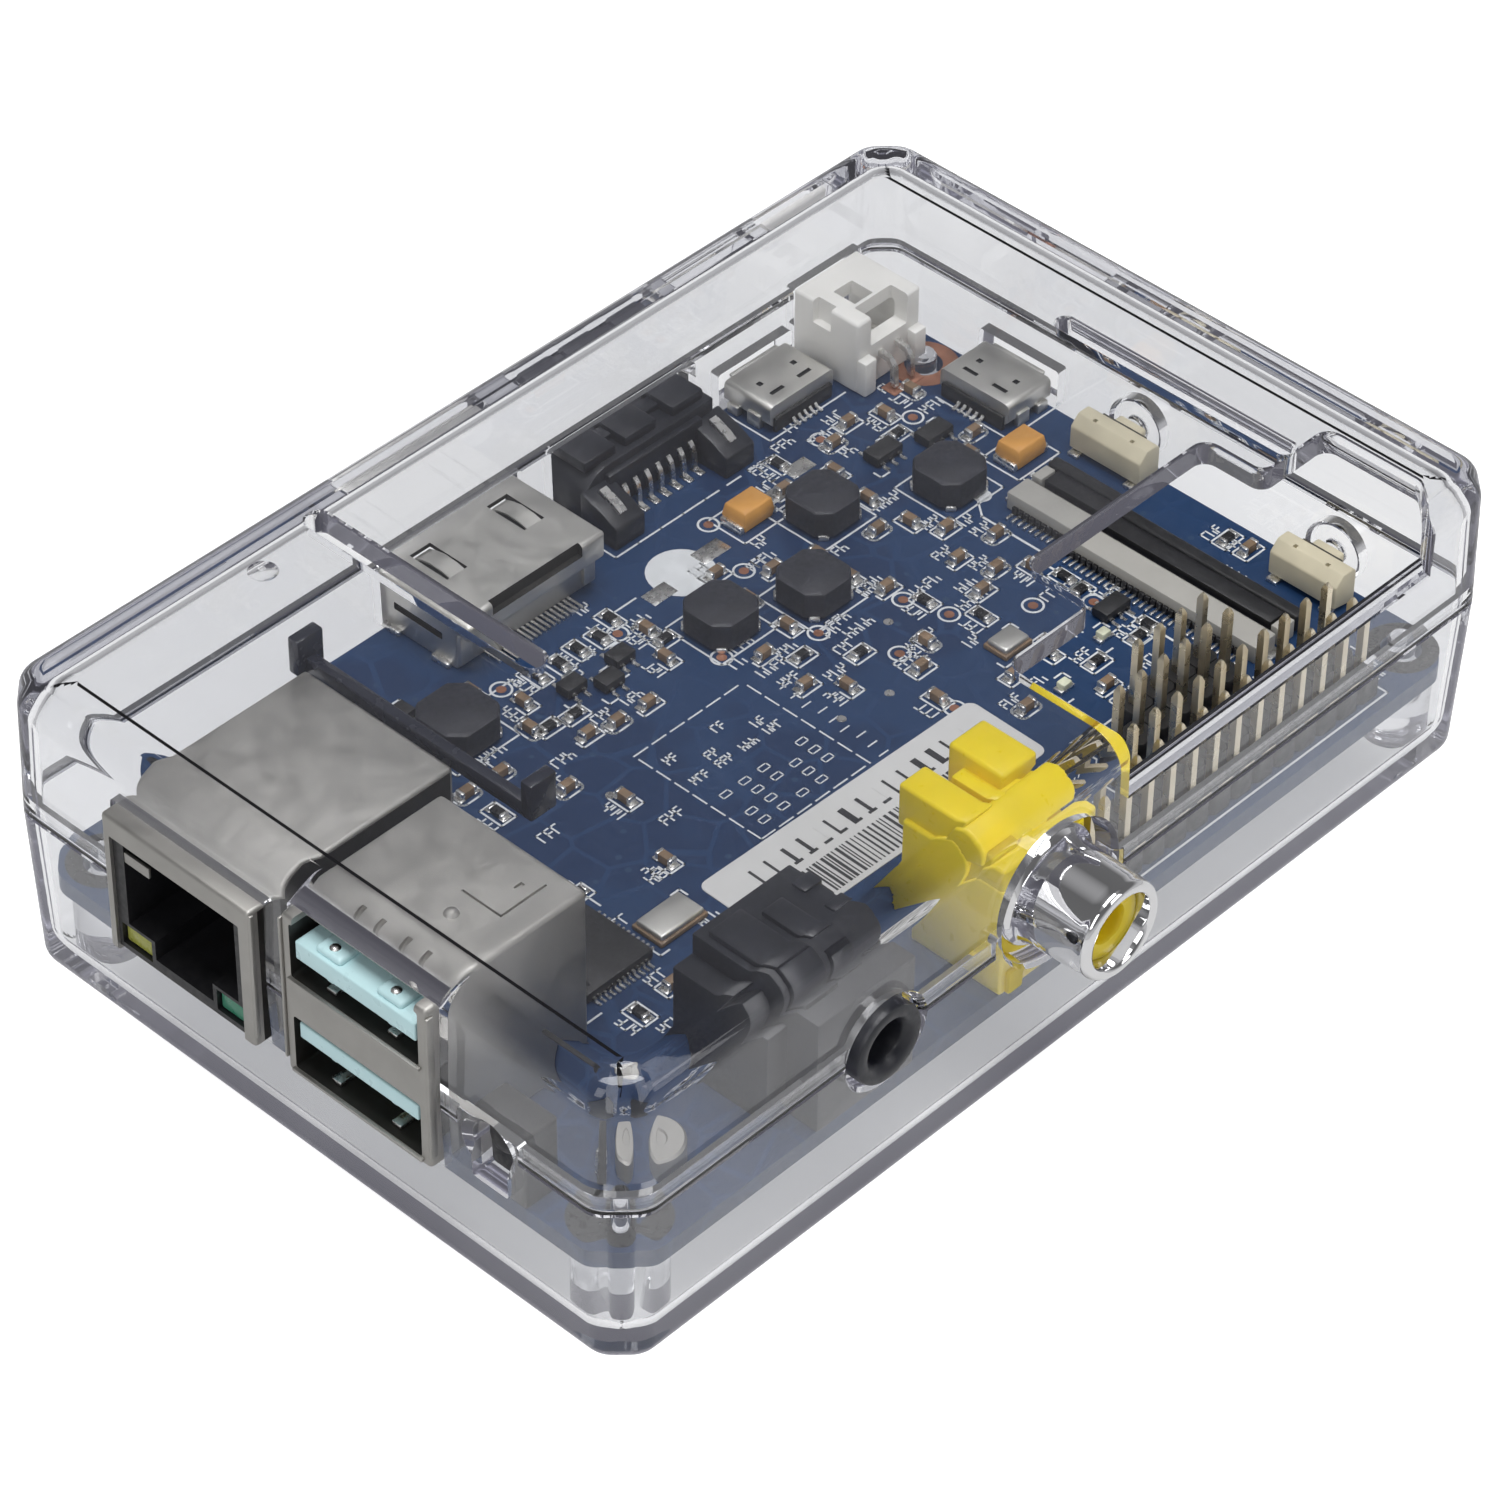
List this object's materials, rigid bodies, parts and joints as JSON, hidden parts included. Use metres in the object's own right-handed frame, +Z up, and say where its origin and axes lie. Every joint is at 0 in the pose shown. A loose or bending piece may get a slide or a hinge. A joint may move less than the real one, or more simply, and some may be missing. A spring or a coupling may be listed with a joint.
{
  "type": "single board computer",
  "caption": "Single board computer in a clear two-part snap case, with network, video, audio and storage sockets on its edges and open pin headers under a lid cut-out.",
  "frame": {"origin": "centre of the case's underside", "axes": "+Z up out of the lid; +X along the long side, away from the network and USB sockets; -Y towards the audio and video jacks"},
  "size_m": [0.0981, 0.071, 0.0278],
  "materials": {
    "clear_plastic": "clear moulded plastic, polished",
    "board_mask": "navy solder mask over glass-fibre laminate",
    "tin_shell": "tin-plated sheet metal, satin",
    "bright_shell": "nickel-plated sheet metal, semi-bright",
    "chrome": "polished plated metal",
    "gold_contact": "gold-plated contacts",
    "tin_pin": "tin-plated pins",
    "header_pin": "pale gold-plated pins",
    "black_plastic": "moulded black plastic",
    "jack_plastic": "moulded blue-black plastic",
    "yellow_plastic": "moulded yellow plastic",
    "white_plastic": "moulded white plastic",
    "cream_plastic": "moulded cream plastic",
    "pale_cyan_plastic": "moulded pale cyan plastic",
    "grey_plastic": "moulded grey plastic",
    "lamp_lens": "tinted light guides",
    "lamp_clear": "milky lamp bodies",
    "ferrite": "moulded dark ferrite",
    "tantalum": "moulded orange epoxy",
    "chip_epoxy": "moulded chip epoxy",
    "ceramic_brown": "sintered brown ceramic with tinned ends",
    "resistor_black": "glazed resistor film with tinned ends",
    "paper": null
  },
  "bodies": {
    "base": {"case_bottom": "clear_plastic", "circuit_board": "board_mask", "ethernet_shell": "tin_shell", "ethernet_insert": "black_plastic", "ethernet_contacts": "gold_contact", "ethernet_lamps": "lamp_lens", "usb_shell": "tin_shell", "usb_tongues": "pale_cyan_plastic", "usb_contacts": "gold_contact", "hdmi_shell": "bright_shell", "hdmi_insert": "black_plastic", "hdmi_pins": "tin_pin", "sata_housing": "jack_plastic", "sata_pins": "tin_pin", "power_socket_shell": "bright_shell", "power_socket_tongue": "black_plastic", "data_socket_shell": "bright_shell", "data_socket_tongue": "black_plastic", "battery_socket": "white_plastic", "battery_socket_pins": "tin_pin", "audio_jack_body": "jack_plastic", "audio_jack_sleeve": "black_plastic", "video_jack_body": "yellow_plastic", "video_jack_barrel": "chrome", "video_jack_insert": "yellow_plastic", "header_base": "black_plastic", "header_pins": "header_pin", "small_header_bases": "black_plastic", "small_header_pins": "header_pin", "camera_socket_body": "grey_plastic", "camera_socket_contacts": "tin_pin", "reset_switch_body": "cream_plastic", "power_switch_body": "cream_plastic", "inductors": "ferrite", "tantalum_capacitors": "tantalum", "crystals": "bright_shell", "indicator_lamps": "lamp_clear", "ethernet_chip": "chip_epoxy", "small_chips": "chip_epoxy", "ceramic_capacitors": "ceramic_brown", "chip_resistors": "resistor_black", "board_label": "paper", "infrared_receiver": "chip_epoxy", "microphone": "bright_shell", "processor_chip": "chip_epoxy", "memory_chips": "chip_epoxy", "power_chip": "chip_epoxy", "card_socket_frame": "black_plastic", "card_socket_cover": "tin_shell"},
    "lid": {"case_top": "clear_plastic"},
    "reset_key": {"reset_key": "clear_plastic"},
    "power_key": {"power_key": "clear_plastic"},
    "reset_plunger": {"reset_plunger": "cream_plastic"},
    "power_plunger": {"power_plunger": "cream_plastic"},
    "camera_latch": {"camera_socket_latch": "black_plastic"}
  },
  "joints": [
    {"name": "lid_lift", "type": "slide", "parent": "base", "child": "lid", "axis": [0, 0, 1], "range_m": [0, 0.03]},
    {"name": "reset_key_press", "type": "slide", "parent": "base", "child": "reset_key", "axis": [-1, 0, 0], "range_m": [0, 0.0004], "stiffness_N_per_m": 800},
    {"name": "power_key_press", "type": "slide", "parent": "base", "child": "power_key", "axis": [-1, 0, 0], "range_m": [0, 0.0004], "stiffness_N_per_m": 800},
    {"name": "reset_switch_press", "type": "slide", "parent": "base", "child": "reset_plunger", "axis": [-1, 0, 0], "range_m": [0, 0.0004]},
    {"name": "power_switch_press", "type": "slide", "parent": "base", "child": "power_plunger", "axis": [-1, 0, 0], "range_m": [0, 0.0004]},
    {"name": "camera_latch_slide", "type": "slide", "parent": "base", "child": "camera_latch", "axis": [1, 0, 0], "range_m": [0, 0.001]}
  ],
  "couplings": [
    {"joint": "reset_switch_press", "follows": "reset_key_press", "ratio": 1},
    {"joint": "power_switch_press", "follows": "power_key_press", "ratio": 1}
  ]
}
